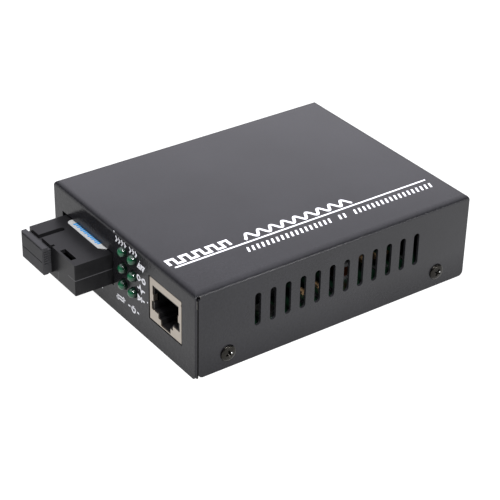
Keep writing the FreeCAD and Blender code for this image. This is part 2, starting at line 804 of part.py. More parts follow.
def inlet_terminals():
    halfW = inletTerminalWidth / 2
    halfT = inletTerminalThickness / 2
    blades = [block(inletX - halfW, inletX + halfW, y - halfT, y + halfT, pinTip,
                    inletTerminalTop) for y in inletTerminalYs]
    return Part.makeCompound(blades)


# ---- board parts ------------------------------------------------------------

def leaded_package(x, y, sizeX, sizeY, height, pitch, perSide, reach):
    """Moulded package with a row of flat leads on each of its Y faces."""
    lift = 0.12
    lead = 0.22
    halfX = sizeX / 2
    halfY = sizeY / 2
    body = block(x - halfX, x + halfX, y - halfY, y + halfY, boardTop + lift,
                 boardTop + lift + height)
    body = body.makeChamfer(lead, edges_where(body, lambda v: v.Z > boardTop + height))
    w = pitch * 0.22
    leads = []
    for end in (-1, 1):
        for i in range(perSide):
            px = x + pitch * (i - (perSide - 1) / 2)
            near = y + end * (halfY - lead)
            far = y + end * (halfY + reach)
            leads.append(block(px - w, px + w, min(near, far), max(near, far), boardTop,
                               boardTop + lead))
    return fused([body] + leads)


chipX = -2.0
chipY = 4.0
chipSize = 10.0
chipHeight = 0.9
chipMark = 0.5              # radius of the dimple at the first pad


def converter_chip():
    """Leadless square package, its pads under its rim."""
    half = chipSize / 2
    body = block(chipX - half, chipX + half, chipY - half, chipY + half, boardTop,
                 boardTop + chipHeight)
    body = body.makeChamfer(0.15, edges_where(body, lambda v: v.Z > boardTop + 0.01))
    dimple = hexagon(2 * chipMark, 1, V(chipX - half + 1.2, chipY + half - 1.2,
                                        boardTop + chipHeight - 0.1))
    return body.cut(dimple)


def isolation_transformer():
    return leaded_package(x=17.4, y=-15.4, sizeX=15.2, sizeY=12.6, height=5.8, pitch=2.4,
                          perSide=6, reach=1.2)


def config_memory():
    return leaded_package(x=-16.5, y=12.0, sizeX=4.9, sizeY=3.9, height=1.5, pitch=1.27,
                          perSide=4, reach=1.0)


crystalX = -16.5
crystalY = 1.0
crystalLength = 10.8
crystalWidth = 4.2
crystalHeight = 3.5


def crystal():
    """Low metal can with round ends."""
    r = crystalWidth / 2
    run = crystalLength / 2 - r
    middle = block(crystalX - run, crystalX + run, crystalY - r, crystalY + r, boardTop,
                   boardTop + crystalHeight)
    ends = [rod(r, crystalHeight, V(crystalX + side * run, crystalY, boardTop), Z)
            for side in (-1, 1)]
    return fused([middle] + ends)


regulatorX = 5.3
regulatorY = 30.0
regulatorWidth = 6.6
regulatorLength = 6.1
regulatorHeight = 2.2
regulatorTab = 2.4          # how far the heat tab comes out
regulatorLeg = 2.3
regulatorLegPitch = 2.3


def voltage_regulator():
    """Moulded regulator with its heat tab and three legs soldered flat."""
    halfW = regulatorWidth / 2
    halfL = regulatorLength / 2
    x = regulatorX
    y = regulatorY
    body = block(x - halfW, x + halfW, y - halfL, y + halfL, boardTop,
                 boardTop + regulatorHeight)
    tab = block(x - halfW + 0.6, x + halfW - 0.6, y - halfL - regulatorTab, y, boardTop,
                boardTop + 0.6)
    legs = [block(x + regulatorLegPitch * i - 0.4, x + regulatorLegPitch * i + 0.4, y,
                  y + halfL + regulatorLeg, boardTop, boardTop + 0.5) for i in (-1, 0, 1)]
    return fused([body, tab] + legs)


chokeX = 25.5
chokeY = 9.0
chokeRadius = 3.6
chokeNeck = 2.0
chokeHeight = 5.2
chokeRim = 1.0


def inductor_core():
    """Ferrite drum of the supply choke."""
    rim = chokeHeight - chokeRim
    profile = [(0, 0), (chokeRadius, 0), (chokeRadius, chokeRim), (chokeNeck, chokeRim),
               (chokeNeck, rim), (chokeRadius, rim), (chokeRadius, chokeHeight),
               (0, chokeHeight)]
    return turned(profile, V(chokeX, chokeY, boardTop), Z)


def inductor_winding():
    start = V(chokeX, chokeY, boardTop + chokeRim)
    height = chokeHeight - 2 * chokeRim
    return rod(chokeRadius - 0.3, height, start, Z).cut(rod(chokeNeck, height, start, Z))


# x, y, radius and height of each can
bulkCapacitors = [(-9.0, 37.0, 4.0, 11.0), (1.5, 40.0, 3.15, 9.0), (14.0, 36.5, 3.15, 9.0)]


def bulk_capacitors():
    cans = [rod(r, h, V(x, y, boardTop), Z) for x, y, r, h in bulkCapacitors]
    return Part.makeCompound(cans)


def chip_rows(places, length, width, height):
    """Rows of surface-mount chips: (first x, first y, step x, step y, count, along x)."""
    chips = []
    for x, y, stepX, stepY, count, alongX in places:
        dx = (length if alongX else width) / 2
        dy = (width if alongX else length) / 2
        for i in range(count):
            cx = x + stepX * i
            cy = y + stepY * i
            chips.append(block(cx - dx, cx + dx, cy - dy, cy + dy, boardTop, boardTop + height))
    return Part.makeCompound(chips)


def chip_resistors():
    rows = [(31.0, -11.0, 0, 2.6, 6, True), (-13.0, -6.0, 3.0, 0, 8, False),
            (9.5, -2.0, 0, 2.4, 6, True), (29.5, 16.0, 0, 3.4, 5, True)]
    return chip_rows(rows, 2.0, 1.2, 0.55)


def chip_capacitors():
    rows = [(27.6, -5.5, 0, 2.8, 3, True), (-13.0, 15.5, 3.2, 0, 7, False),
            (18.0, 4.0, 0, 3.0, 7, True), (24.0, 19.0, 0, 4.2, 4, True)]
    return chip_rows(rows, 2.2, 1.4, 1.0)


def circuit_board():
    """Glass-epoxy board, opened for its screws and for every soldered pin."""
    plate = block(-boardHalfWidth, boardHalfWidth, boardFrontY, boardRearY, boardBottom, boardTop)
    low = boardBottom - 1
    high = boardTop + 1
    cuts = [rod(boardHoleRadius, high - low, V(x, y, low), Z) for x, y in fixingPoints]
    pins = [(x, modulePinY) for x in module_pin_xs()]
    pins += [(x + contactWidth / 2, contact_tail_y(i)) for i, x in enumerate(contact_xs())]
    for row in range(len(lampRows)):
        for x in lampColumns:
            pins += [(x + side * lampLeadOffset, lamp_lead_y(row)) for side in (-1, 1)]
    cuts += [square_pin(pinHole, x, y, low, high) for x, y in pins]
    for side in (-1, 1):
        x = jackX + side * (jackWidth - jackSheet) / 2
        for y in jackLegYs:
            cuts.append(slot_in_board(x, y, jackSheet, jackLegWidth))
    for y in inletTerminalYs:
        cuts.append(slot_in_board(inletX, y, inletTerminalWidth, inletTerminalThickness))
    return plate.cut(cuts)


def slot_in_board(x, y, widthX, widthY):
    halfX = widthX / 2 + 0.2
    halfY = widthY / 2 + 0.2
    return block(x - halfX, x + halfX, y - halfY, y + halfY, boardBottom - 1, boardTop + 1)


nodes = {
    "case_cover": case_cover,
    "base_tray": base_tray,
    "cover_screws": cover_screws,
    "board_standoffs": board_standoffs,
    "board_screws": board_screws,
    "circuit_board": circuit_board,
    "transceiver_lower_shell": transceiver_lower_shell,
    "transceiver_upper_shell": transceiver_upper_shell,
    "transceiver_board": transceiver_board,
    "transceiver_pins": transceiver_pins,
    "transceiver_label": transceiver_label,
    "latch_clip": latch_clip,
    "optical_subassembly": optical_subassembly,
    "ferrule_sleeve": ferrule_sleeve,
    "dust_plug": dust_plug,
    "jack_shield": jack_shield,
    "jack_housing": jack_housing,
    "jack_carrier": jack_carrier,
    "jack_contacts": jack_contacts,
    "lamp_leads": lamp_leads,
    "inlet_housing": inlet_housing,
    "inlet_pin": inlet_pin,
    "inlet_terminals": inlet_terminals,
    "converter_chip": converter_chip,
    "isolation_transformer": isolation_transformer,
    "config_memory": config_memory,
    "crystal": crystal,
    "voltage_regulator": voltage_regulator,
    "inductor_core": inductor_core,
    "inductor_winding": inductor_winding,
    "bulk_capacitors": bulk_capacitors,
    "chip_resistors": chip_resistors,
    "chip_capacitors": chip_capacitors,
}

os.makedirs("parts", exist_ok=True)
for name, make in nodes.items():
    make().exportStep("parts/" + name + ".step")
for column, x in enumerate(lampColumns, 1):
    lamp_block(x).exportStep("parts/lamp_block_%d.step" % column)
    for row, z in enumerate(lampRows, 1):
        status_lamp(x, z).exportStep("parts/status_lamp_%d_%d.step" % (column, row))
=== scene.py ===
import math

import bmesh
import bpy
from mathutils import Matrix, Vector


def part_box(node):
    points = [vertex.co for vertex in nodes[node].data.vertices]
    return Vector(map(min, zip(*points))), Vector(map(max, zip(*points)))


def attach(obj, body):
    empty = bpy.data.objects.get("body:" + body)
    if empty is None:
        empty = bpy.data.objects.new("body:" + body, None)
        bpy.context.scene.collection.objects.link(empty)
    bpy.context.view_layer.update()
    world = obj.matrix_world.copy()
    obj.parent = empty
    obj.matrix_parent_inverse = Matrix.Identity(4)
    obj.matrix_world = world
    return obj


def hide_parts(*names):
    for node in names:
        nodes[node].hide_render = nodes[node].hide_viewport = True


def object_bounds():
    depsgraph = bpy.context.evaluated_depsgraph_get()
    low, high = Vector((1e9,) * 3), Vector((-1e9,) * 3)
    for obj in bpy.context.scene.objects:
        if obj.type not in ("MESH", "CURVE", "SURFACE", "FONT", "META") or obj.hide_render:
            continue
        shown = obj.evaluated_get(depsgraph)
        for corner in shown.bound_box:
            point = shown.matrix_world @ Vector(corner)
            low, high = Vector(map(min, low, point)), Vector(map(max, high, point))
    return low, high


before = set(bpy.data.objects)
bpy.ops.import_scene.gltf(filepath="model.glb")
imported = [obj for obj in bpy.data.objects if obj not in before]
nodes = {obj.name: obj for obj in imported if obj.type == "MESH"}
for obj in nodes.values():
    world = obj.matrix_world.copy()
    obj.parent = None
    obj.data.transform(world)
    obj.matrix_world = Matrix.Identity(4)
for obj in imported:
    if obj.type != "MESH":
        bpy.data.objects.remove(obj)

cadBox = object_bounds()
mm = 0.001
# mm; where the case's top, front and right side lie
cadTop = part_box("case_cover")[1].z / mm
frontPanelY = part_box("case_cover")[0].y / mm
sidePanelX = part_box("case_cover")[1].x / mm
print("loaded %d nodes" % len(nodes))


# sRGB hex to the linear colour that Blender's sockets take
def linear(hexColour):
    parts = [int(hexColour[i:i + 2], 16) / 255 for i in (1, 3, 5)]
    return [c / 12.92 if c <= 0.04045 else ((c + 0.055) / 1.055) ** 2.4 for c in parts] + [1.0]


# adds one shader node with its settings, socket values and incoming links;
# a mix of colours has its factor at socket 0 and the two colours at 6 and 7
def addNode(tree, kind, settings=None, values=None, links=None):
    node = tree.nodes.new("ShaderNode" + kind)
    for name, value in (settings or {}).items():
        setattr(node, name, value)
    for socket, value in (values or {}).items():
        node.inputs[socket].default_value = value
    for socket, source in (links or {}).items():
        tree.links.new(source, node.inputs[socket])
    return node


def startMaterial(name):
    material = bpy.data.materials.new(name)
    material.use_nodes = True
    tree = material.node_tree
    tree.nodes.clear()
    place = addNode(tree, "TexCoord").outputs["Object"]    # metres, the same on every node
    return material, tree, place


def endMaterial(tree, shader):
    addNode(tree, "OutputMaterial", links={"Surface": shader})


# camera and light

view = {
    "target": (-4.62, -0.12, 3.6),  # mm
    "distance": 481.1,
    "azimuth": 53.94,               # degrees, from the front towards the right side
    "elevation": 31.45,
    "roll": 1.27,
    "lens": 117.1,
    "sensor": 36.0,
    "clip": (0.01, 20.0),           # m
}


def makeCamera():
    azimuth = math.radians(view["azimuth"])
    elevation = math.radians(view["elevation"])
    roll = math.radians(view["roll"])
    back = Vector((math.sin(azimuth) * math.cos(elevation),
                   -math.cos(azimuth) * math.cos(elevation), math.sin(elevation)))
    right = (-back).cross(Vector((0, 0, 1))).normalized()
    up = right.cross(-back)
    axisX = right * math.cos(roll) + up * math.sin(roll)
    axisY = up * math.cos(roll) - right * math.sin(roll)
    data = bpy.data.cameras.new("camera")
    data.lens = view["lens"]
    data.sensor_width = view["sensor"]
    data.clip_start, data.clip_end = view["clip"]
    camera = bpy.data.objects.new("camera", data)
    turn = Matrix((axisX, axisY, back)).transposed().to_4x4()
    place = (Vector(view["target"]) + back * view["distance"]) * mm
    camera.matrix_world = Matrix.Translation(place) @ turn
    bpy.context.scene.collection.objects.link(camera)
    bpy.context.scene.camera = camera


studio = {
    "floorSize": 14.0,          # m
    "floorColour": "#4a4a4a",
    "floorRoughness": 0.9,
    "fibre": 1.11,              # mm; real fibres are finer, drawn coarser to show
    "fibreHeight": 0.1,         # mm
    "fibreStrength": 0.1,
    "floorGlow": 1.0,           # a light table: white from below, so no shadow shows
    "ceiling": (-0.15, 0.15, 0.98),     # where the big overhead diffuser is brightest
    "ceilingGlow": 3.0,
    "ceilingColour": (0.985, 0.968, 1.05),   # a faint violet cast
    "roomGlow": 0.05,
    "ceilingFrom": 0.27,        # cosines between which the diffuser fades
    "ceilingTo": 1.0,
    "softboxes": [
        # name, place (m), aim (m), width (m), height (m), watts
        ("edgeLight", (0.64, 0.29, 0.035), (0.036, -0.04, 0.027), 0.14, 0.07, 0.6),
        ("catchLight", (0.61, -0.06, 0.51), (0, 0, 0.01), 0.06, 0.06, 4.0),
        ("frontLight", (0.21, -0.1, 0.29), (0, -0.05, 0.015), 0.03, 0.03, 1.2),
    ],
}


def makeDiffuser():
    scene = bpy.context.scene
    scene.view_settings.view_transform = "Standard"
    world = bpy.data.worlds.new("studio")
    world.use_nodes = True
    scene.world = world
    tree = world.node_tree
    tree.nodes.clear()
    direction = addNode(tree, "TexCoord").outputs["Generated"]
    toCeiling = Vector(studio["ceiling"]).normalized()
    towards = addNode(tree, "VectorMath", {"operation": "DOT_PRODUCT"}, {1: toCeiling},
                      {0: direction})
    level = addNode(tree, "MapRange", None,
                    {"From Min": studio["ceilingFrom"], "From Max": studio["ceilingTo"],
                     "To Min": studio["roomGlow"], "To Max": studio["ceilingGlow"]},
                    {"Value": towards.outputs["Value"]})
    glow = addNode(tree, "Background", values={"Color": (*studio["ceilingColour"], 1.0)},
                   links={"Strength": level.outputs[0]})
    addNode(tree, "OutputWorld", links={"Surface": glow.outputs[0]})


def makeSoftboxes():
    for name, place, aim, width, height, watts in studio["softboxes"]:
        data = bpy.data.lights.new(name, "AREA")
        data.shape = "RECTANGLE"
        data.size = width
        data.size_y = height
        data.energy = watts
        lamp = bpy.data.objects.new(name, data)
        lamp.location = place
        lamp.rotation_euler = (Vector(aim) - Vector(place)).to_track_quat("-Z", "Y").to_euler()
        bpy.context.scene.collection.objects.link(lamp)


def makeFloor():
    form = bmesh.new()
    half = studio["floorSize"] / 2
    corners = [(-half, -half), (half, -half), (half, half), (-half, half)]
    form.faces.new([form.verts.new((x, y, cadBox[0].z)) for x, y in corners])
    mesh = bpy.data.meshes.new("floor")
    form.to_mesh(mesh)
    form.free()
    floor = bpy.data.objects.new("floor", mesh)
    bpy.context.scene.collection.objects.link(floor)
    material, tree, place = startMaterial("mattPaper")     # paper sweep: even and dull
    fibre = addNode(tree, "TexNoise", values={"Scale": 1 / (studio["fibre"] * mm)},
                    links={"Vector": place})
    bump = addNode(tree, "Bump", values={"Strength": studio["fibreStrength"],
                                         "Distance": studio["fibreHeight"] * mm},
                   links={"Height": fibre.outputs[0]})
    paper = addNode(tree, "BsdfPrincipled", values={"Base Color": linear(studio["floorColour"]),
                                                    "Roughness": studio["floorRoughness"],
                                                    "Emission Strength": studio["floorGlow"]},
                    links={"Normal": bump.outputs["Normal"]})
    endMaterial(tree, paper.outputs[0])
    mesh.materials.append(material)


makeCamera()
makeDiffuser()
makeSoftboxes()
makeFloor()
print("camera and studio ready")


# materials

# a finish with two close shades in patches, and a grain of the given size and height;
# sizes are in mm, and metals keep the default IOR
def grainedFinish(name, look):
    material, tree, place = startMaterial(name)
    patches = addNode(tree, "TexNoise", values={"Scale": 1 / (look["patch"] * mm), "Detail": 3.0},
                      links={"Vector": place})
    colour = addNode(tree, "Mix", {"data_type": "RGBA"},
                     {6: linear(look["dark"]), 7: linear(look["light"])},
                     {0: patches.outputs[0]})
    rough = addNode(tree, "MapRange", values={"To Min": look["roughness"][0],
                                              "To Max": look["roughness"][1]},
                    links={"Value": patches.outputs[0]})
    grain = addNode(tree, "TexNoise", values={"Scale": 1 / (look["grain"] * mm), "Detail": 2.0},
                    links={"Vector": place})
    bump = addNode(tree, "Bump", values={"Strength": 1.0, "Distance": look["height"] * mm},
                   links={"Height": grain.outputs[0]})
    sockets = {"metallic": "Metallic", "ior": "IOR", "coat": "Coat Weight",
               "specular": "Specular IOR Level"}
    values = {socket: look[key] for key, socket in sockets.items() if key in look}
    shader = addNode(tree, "BsdfPrincipled", values=values,
                     links={"Base Color": colour.outputs[2], "Roughness": rough.outputs[0],
                            "Normal": bump.outputs[0]})
    endMaterial(tree, shader.outputs[0])
    return material


coating = {
    "dark": "#0c0c0d",
    "light": "#27272a",
    "roughness": (0.19, 0.25),
    "grain": 0.7,               # mm; real powder grains are 0.05 mm, drawn coarser to show
    "grainHeight": 0.05,
    "peel": 2.2,                # mm; slow waves of orange peel
    "peelHeight": 0.012,
    "cloud": 24.0,              # mm; faint clouds in the film
    "shine": 0.32,              # painted sheen: the shine is raised towards the rear and the left, where the reflections fall brighter
    "shineAlong": (0.72, 1.22),     # front to rear
    "shineAcross": 0.3,         # left to right, on the top only
    "topBand": 1.8,             # mm below the top over which that fades
    "footShadeLevel": 0.5,            # painted shade: duller at the foot of the walls, where the reflections fall darker
    "shineLowTo": 9.0,          # mm
    "frontShadeLevel": 0.8,          # painted shade: duller on the front panel
    "frontBand": 1.2,           # mm behind it over which that fades
    "ior": 1.5,
}


# painted sheen and shade: a specular level that rises and falls by place, brightening and
# darkening the reflections
def paintedSheenLevel(tree, place):
    half = -frontPanelY
    at = addNode(tree, "SeparateXYZ", links={0: place})

    def ramp(axis, low, high, fromValue, toValue):
        return addNode(tree, "MapRange", None, {"From Min": low * mm, "From Max": high * mm,
                                                "To Min": fromValue, "To Max": toValue},
                       {"Value": at.outputs[axis]}).outputs[0]

    along = ramp("Y", -half, half, *coating["shineAlong"])
    across = ramp("X", -sidePanelX, sidePanelX, coating["shineAcross"], -coating["shineAcross"])
    onTopOnly = ramp("Z", cadTop - coating["topBand"], cadTop, 0.0, 1.0)
    foot = ramp("Z", 0.0, coating["shineLowTo"], coating["footShadeLevel"], 1.0)
    front = ramp("Y", -half, -half + coating["frontBand"], coating["frontShadeLevel"], 1.0)
    level = addNode(tree, "Math", {"operation": "MULTIPLY_ADD"}, {2: 1.0},
                    {0: across, 1: onTopOnly}).outputs[0]
    for factor in (along, foot, front):
        level = addNode(tree, "Math", {"operation": "MULTIPLY"}, None,
                        {0: level, 1: factor}).outputs[0]
    return addNode(tree, "Math", {"operation": "MULTIPLY"}, {1: coating["shine"]},
                   {0: level}).outputs[0]


# powder coat on sheet steel: nearly black, half matt, with a fine orange peel
def powderCoat():
    material, tree, place = startMaterial("powderCoatOnSteel")
    cloud = addNode(tree, "TexNoise", values={"Scale": 1 / (coating["cloud"] * mm)},
                    links={"Vector": place})
    grain = addNode(tree, "TexNoise",
                    values={"Scale": 1 / (coating["grain"] * mm), "Detail": 3.0},
                    links={"Vector": place})
    peel = addNode(tree, "TexNoise", values={"Scale": 1 / (coating["peel"] * mm)},
                   links={"Vector": place})
    shade = addNode(tree, "Math", {"operation": "ADD"},
                    links={0: cloud.outputs[0], 1: grain.outputs[0]})
    half = addNode(tree, "Math", {"operation": "MULTIPLY"}, {1: 0.5}, {0: shade.outputs[0]})
    colour = addNode(tree, "Mix", {"data_type": "RGBA"},
                     {6: linear(coating["dark"]), 7: linear(coating["light"])},
                     {0: half.outputs[0]})
    rough = addNode(tree, "MapRange", values={"To Min": coating["roughness"][0],
                                              "To Max": coating["roughness"][1]},
                    links={"Value": grain.outputs[0]})
    waves = addNode(tree, "Bump", values={"Distance": coating["peelHeight"] * mm},
                    links={"Height": peel.outputs[0]})
    grit = addNode(tree, "Bump", values={"Distance": coating["grainHeight"] * mm},
                   links={"Height": grain.outputs[0], "Normal": waves.outputs[0]})
    # its specular level carries the painted sheen and shade
    shader = addNode(tree, "BsdfPrincipled", values={"IOR": coating["ior"]},
                     links={"Base Color": colour.outputs[2], "Roughness": rough.outputs[0],
                            "Specular IOR Level": paintedSheenLevel(tree, place),
                            "Normal": grit.outputs[0]})
    endMaterial(tree, shader.outputs[0])
    return material


finishes = {
    # PBT, spark-eroded mould: black, dull, fine pits
    "mouldedPbt": {"dark": "#0f0f10", "light": "#171718", "patch": 2.5,
                   "roughness": (0.26, 0.36), "grain": 0.4, "height": 0.008, "ior": 1.5,
                   "specular": 0.13},
    # soft thermoplastic elastomer: greyer and duller than the module
    "softElastomer": {"dark": "#1c1c1e", "light": "#272729", "patch": 2.0,
                      "roughness": (0.55, 0.7), "grain": 0.35, "height": 0.015, "ior": 1.5,
                      "specular": 0.35},
    # black nickel on steel: warm dark metal with a sharp glint
    "blackNickelSteel": {"dark": "#242321", "light": "#353330", "patch": 1.2, "metallic": 1.0,
                         "roughness": (0.2, 0.32), "grain": 0.3, "height": 0.004},
    # bright zinc on steel: light grey and clear
    "zincSteel": {"dark": "#a9aaa6", "light": "#c7c8c4", "patch": 1.5, "metallic": 1.0,
                  "roughness": (0.25, 0.4), "grain": 0.3, "height": 0.004},
    # nickel-plated drawn steel, slightly warm
    "nickelPlate": {"dark": "#9a9287", "light": "#ada59b", "patch": 4.0, "metallic": 1.0,
                    "roughness": (0.30, 0.42), "grain": 0.5, "height": 0.003},
    # glass-filled nylon of the sockets: black with a faint shine
    "mouldedNylon": {"dark": "#0b0b0c", "light": "#111112", "patch": 2.0,
                     "roughness": (0.35, 0.5), "grain": 0.4, "height": 0.006, "ior": 1.53,
                     "specular": 0.3},
    # hard gold on the contact wires: deep yellow, bright
    "hardGold": {"dark": "#c8963a", "light": "#e0b357", "patch": 1.0, "metallic": 1.0,
                 "roughness": (0.2, 0.3), "grain": 0.3, "height": 0.002},
    # nickel on turned brass: yellowish, with a soft sheen
    "turnedNickel": {"dark": "#9c978b", "light": "#b8b2a4", "patch": 1.0, "metallic": 1.0,
                     "roughness": (0.2, 0.35), "grain": 0.25, "height": 0.003},
    # ground zirconia: cream white and glassy
    "zirconia": {"dark": "#e4e0d6", "light": "#f2efe8", "patch": 1.0,
                 "roughness": (0.12, 0.2), "grain": 0.3, "height": 0.001, "ior": 2.1},
    # dipped tin: grey white and a little uneven
    "tinnedWire": {"dark": "#b9b9b6", "light": "#cfcfcc", "patch": 0.8, "metallic": 1.0,
                   "roughness": (0.3, 0.45), "grain": 0.2, "height": 0.004},
    # epoxy of chip packages: charcoal, dull
    "mouldedEpoxy": {"dark": "#18181a", "light": "#222224", "patch": 1.5,
                     "roughness": (0.5, 0.65), "grain": 0.3, "height": 0.006, "ior": 1.55},
    # drawn steel can: plain grey, half bright
    "drawnSteel": {"dark": "#a8a9a8", "light": "#c3c4c3", "patch": 3.0, "metallic": 1.0,
                   "roughness": (0.22, 0.32), "grain": 0.4, "height": 0.002},
    # drawn aluminium: cool grey, half dull
    "drawnAluminium": {"dark": "#a9b0b8", "light": "#c2c8ce", "patch": 2.0, "metallic": 1.0,
                       "roughness": (0.3, 0.42), "grain": 0.4, "height": 0.003},
    # sintered ferrite: dark grey and rough as slate
    "ferrite": {"dark": "#2a2a2c", "light": "#38383a", "patch": 0.6,
                "roughness": (0.6, 0.8), "grain": 0.2, "height": 0.01, "ior": 1.6},
    # copper under clear enamel: brown red with bright rings
    "enamelledCopper": {"dark": "#5e2c17", "light": "#7d3f22", "patch": 0.8, "metallic": 1.0,
                        "roughness": (0.25, 0.35), "grain": 0.3, "height": 0.01},
    # fired barium titanate: tan, dull
    "bariumCeramic": {"dark": "#7d6446", "light": "#94795a", "patch": 1.0,
                      "roughness": (0.45, 0.6), "grain": 0.2, "height": 0.003, "ior": 1.6},
    # solder mask on glass epoxy: deep green with a thin gloss
    "glassEpoxy": {"dark": "#07190f", "light": "#0b2819", "patch": 1.8,
                   "roughness": (0.3, 0.45), "grain": 0.5, "height": 0.006, "ior": 1.55,
                   "coat": 0.3},
    # coated label paper: pale grey, smooth
    "coatedPaper": {"dark": "#8c8d8c", "light": "#989998", "patch": 1.5,
                    "roughness": (0.4, 0.55), "grain": 0.2, "height": 0.002, "ior": 1.5},
    # screen-printed epoxy ink: opaque white, slightly uneven
    "whiteInk": {"dark": "#cacbd0", "light": "#dfe0e3", "patch": 0.9,
                 "roughness": (0.45, 0.6), "grain": 0.3, "height": 0.002, "ior": 1.5},
    # near black, for the painted shade in the seams of the case and round the jack
    "shadeBlack": {"dark": "#050505", "light": "#0a0a0a", "patch": 1.0,
                     "roughness": (0.6, 0.8), "grain": 0.3, "height": 0.004, "ior": 1.4,
                     "specular": 0.1},
    # grey steel, half dark, in thin strokes beside the corner reliefs
    "paleSteel": {"dark": "#4c4b4a", "light": "#77756f", "patch": 0.6, "metallic": 1.0,
                  "roughness": (0.3, 0.5), "grain": 0.2, "height": 0.004},
    # thin flash of PBT where the mould halves met, paler than the wall
    "mouldFlash": {"dark": "#29292b", "light": "#3b3b3d", "patch": 0.8,
                   "roughness": (0.4, 0.55), "grain": 0.3, "height": 0.004, "ior": 1.5},
    # offset ink: clear blue
    "blueInk": {"dark": "#0f5f96", "light": "#2384bc", "patch": 0.7,
                "roughness": (0.4, 0.55), "grain": 0.3, "height": 0.002, "ior": 1.5},
}
finished = {name: grainedFinish(name, look) for name, look in finishes.items()}
finished["powderCoat"] = powderCoat()


lens = {
    "tip": "#0b4d30",
    "shadedRoot": "#03140c",          # painted shade: the epoxy darkens towards the panel, where the barrel is shaded
    "tipAt": 1.9,               # mm in front of the panel
    "rootAt": 0.8,
    "roughness": 0.06,
    "haze": 0.8,                # mm; patches that are duller by the next value
    "hazeRoughness": 0.04,
    "ior": 1.5,
}


# tinted epoxy lamp, unlit: green dome with a wet shine, darkening to nearly black towards the
# panel as painted shade
def lampEpoxy():
    material, tree, place = startMaterial("tintedEpoxy")
    along = addNode(tree, "SeparateXYZ", links={0: place})
    # painted shade: a ramp from the dark colour near the panel to the green tip
    depth = addNode(tree, "MapRange",
                    values={"From Min": (frontPanelY - lens["rootAt"]) * mm,
                            "From Max": (frontPanelY - lens["tipAt"]) * mm},
                    links={"Value": along.outputs["Y"]})
    colour = addNode(tree, "Mix", {"data_type": "RGBA"},
                     {6: linear(lens["shadedRoot"]), 7: linear(lens["tip"])},
                     {0: depth.outputs[0]})
    haze = addNode(tree, "TexNoise", values={"Scale": 1 / (lens["haze"] * mm)},
                   links={"Vector": place})
    rough = addNode(tree, "MapRange",
                    values={"To Min": lens["roughness"],
                            "To Max": lens["roughness"] + lens["hazeRoughness"]},
                    links={"Value": haze.outputs[0]})
    shader = addNode(tree, "BsdfPrincipled", values={"IOR": lens["ior"]},
                     links={"Base Color": colour.outputs[2], "Roughness": rough.outputs[0]})
    endMaterial(tree, shader.outputs[0])
    return material


finished["lampEpoxy"] = lampEpoxy()

# which nodes of the solids carry which finish
carried = {
    "powderCoat": ["case_cover", "base_tray"],
    "blackNickelSteel": ["cover_screws"],
    "zincSteel": ["board_standoffs", "board_screws"],
    "glassEpoxy": ["circuit_board", "transceiver_board"],
    "mouldedPbt": ["transceiver_lower_shell", "transceiver_upper_shell"],
    "softElastomer": ["dust_plug"],
    "coatedPaper": ["transceiver_label"],
    "turnedNickel": ["optical_subassembly"],
    "zirconia": ["ferrule_sleeve"],
    "nickelPlate": ["jack_shield", "inlet_pin"],
    "mouldedNylon": ["jack_housing", "jack_carrier", "inlet_housing", "latch_clip",
                     "lamp_block_1", "lamp_block_2"],
    "hardGold": ["jack_contacts", "transceiver_pins"],
    "tinnedWire": ["lamp_leads", "inlet_terminals"],
    "mouldedEpoxy": ["converter_chip", "isolation_transformer", "config_memory",
                     "voltage_regulator", "chip_resistors"],
    "drawnSteel": ["crystal"],
    "drawnAluminium": ["bulk_capacitors"],
    "ferrite": ["inductor_core"],
    "enamelledCopper": ["inductor_winding"],
    "bariumCeramic": ["chip_capacitors"],
    "lampEpoxy": ["status_lamp_%d_%d" % (c, r) for c in (1, 2) for r in (1, 2, 3)],
}
for finish, names in carried.items():
    for name in names:
        nodes[name].data.materials.clear()
        nodes[name].data.materials.append(finished[finish])
missed = sorted(set(nodes) - {n for names in carried.values() for n in names})
print("finished %d nodes, missed %s" % (len(nodes) - len(missed), missed))


roundedEdges = {
    "widths": {                 # mm
        "case_cover": 0.12,
        "transceiver_lower_shell": 0.14,
        "transceiver_upper_shell": 0.14,
    },
    "segments": 2,
    "sharperThan": 50,          # degrees
}


# the coat and the mould leave no edge quite sharp
def roundEdges():
    for name, width in roundedEdges["widths"].items():
        edges = nodes[name].modifiers.new("edges", "BEVEL")
        edges.width = width * mm
        edges.segments = roundedEdges["segments"]
        edges.limit_method = "ANGLE"
        edges.angle_limit = math.radians(roundedEdges["sharperThan"])
        edges.use_clamp_overlap = False


roundEdges()
print("edges rounded")


# pieces

# turns a form in mm into a named piece that rides on a body
def makePiece(name, form, finish, body):
    bmesh.ops.recalc_face_normals(form, faces=form.faces)
    bmesh.ops.scale(form, vec=(mm, mm, mm), verts=form.verts)
    mesh = bpy.data.meshes.new(name)
    form.to_mesh(mesh)
    form.free()
    mesh.materials.append(finished[finish])
    piece = bpy.data.objects.new(name, mesh)
    bpy.context.scene.collection.objects.link(piece)
    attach(piece, body)
    return piece


ink = {
    "low": -0.05,              # mm; the underside is buried in the coat
    "high": 0.012,
    "sharpest": 0.35,          # a bend's mitre reaches no further than the half width over this
}


# outline of a stroke of even width along (u, v) points, mitred at its bends
def strokeEdges(points, width, closed):
    count = len(points)
    edges = []
    for i in range(count):
        here = Vector(points[i])
        before = Vector(points[i - 1]) if i or closed else None
        after = Vector(points[(i + 1) % count]) if i < count - 1 or closed else None
        a = (here - before).normalized() if before else (after - here).normalized()
        b = (after - here).normalized() if after else a
        normal = Vector((-a.y - b.y, a.x + b.x)).normalized()
        reach = width / 2 / max(normal.dot(Vector((-a.y, a.x))), ink["sharpest"])
        edges.append((here + normal * reach, here - normal * reach))
    return edges


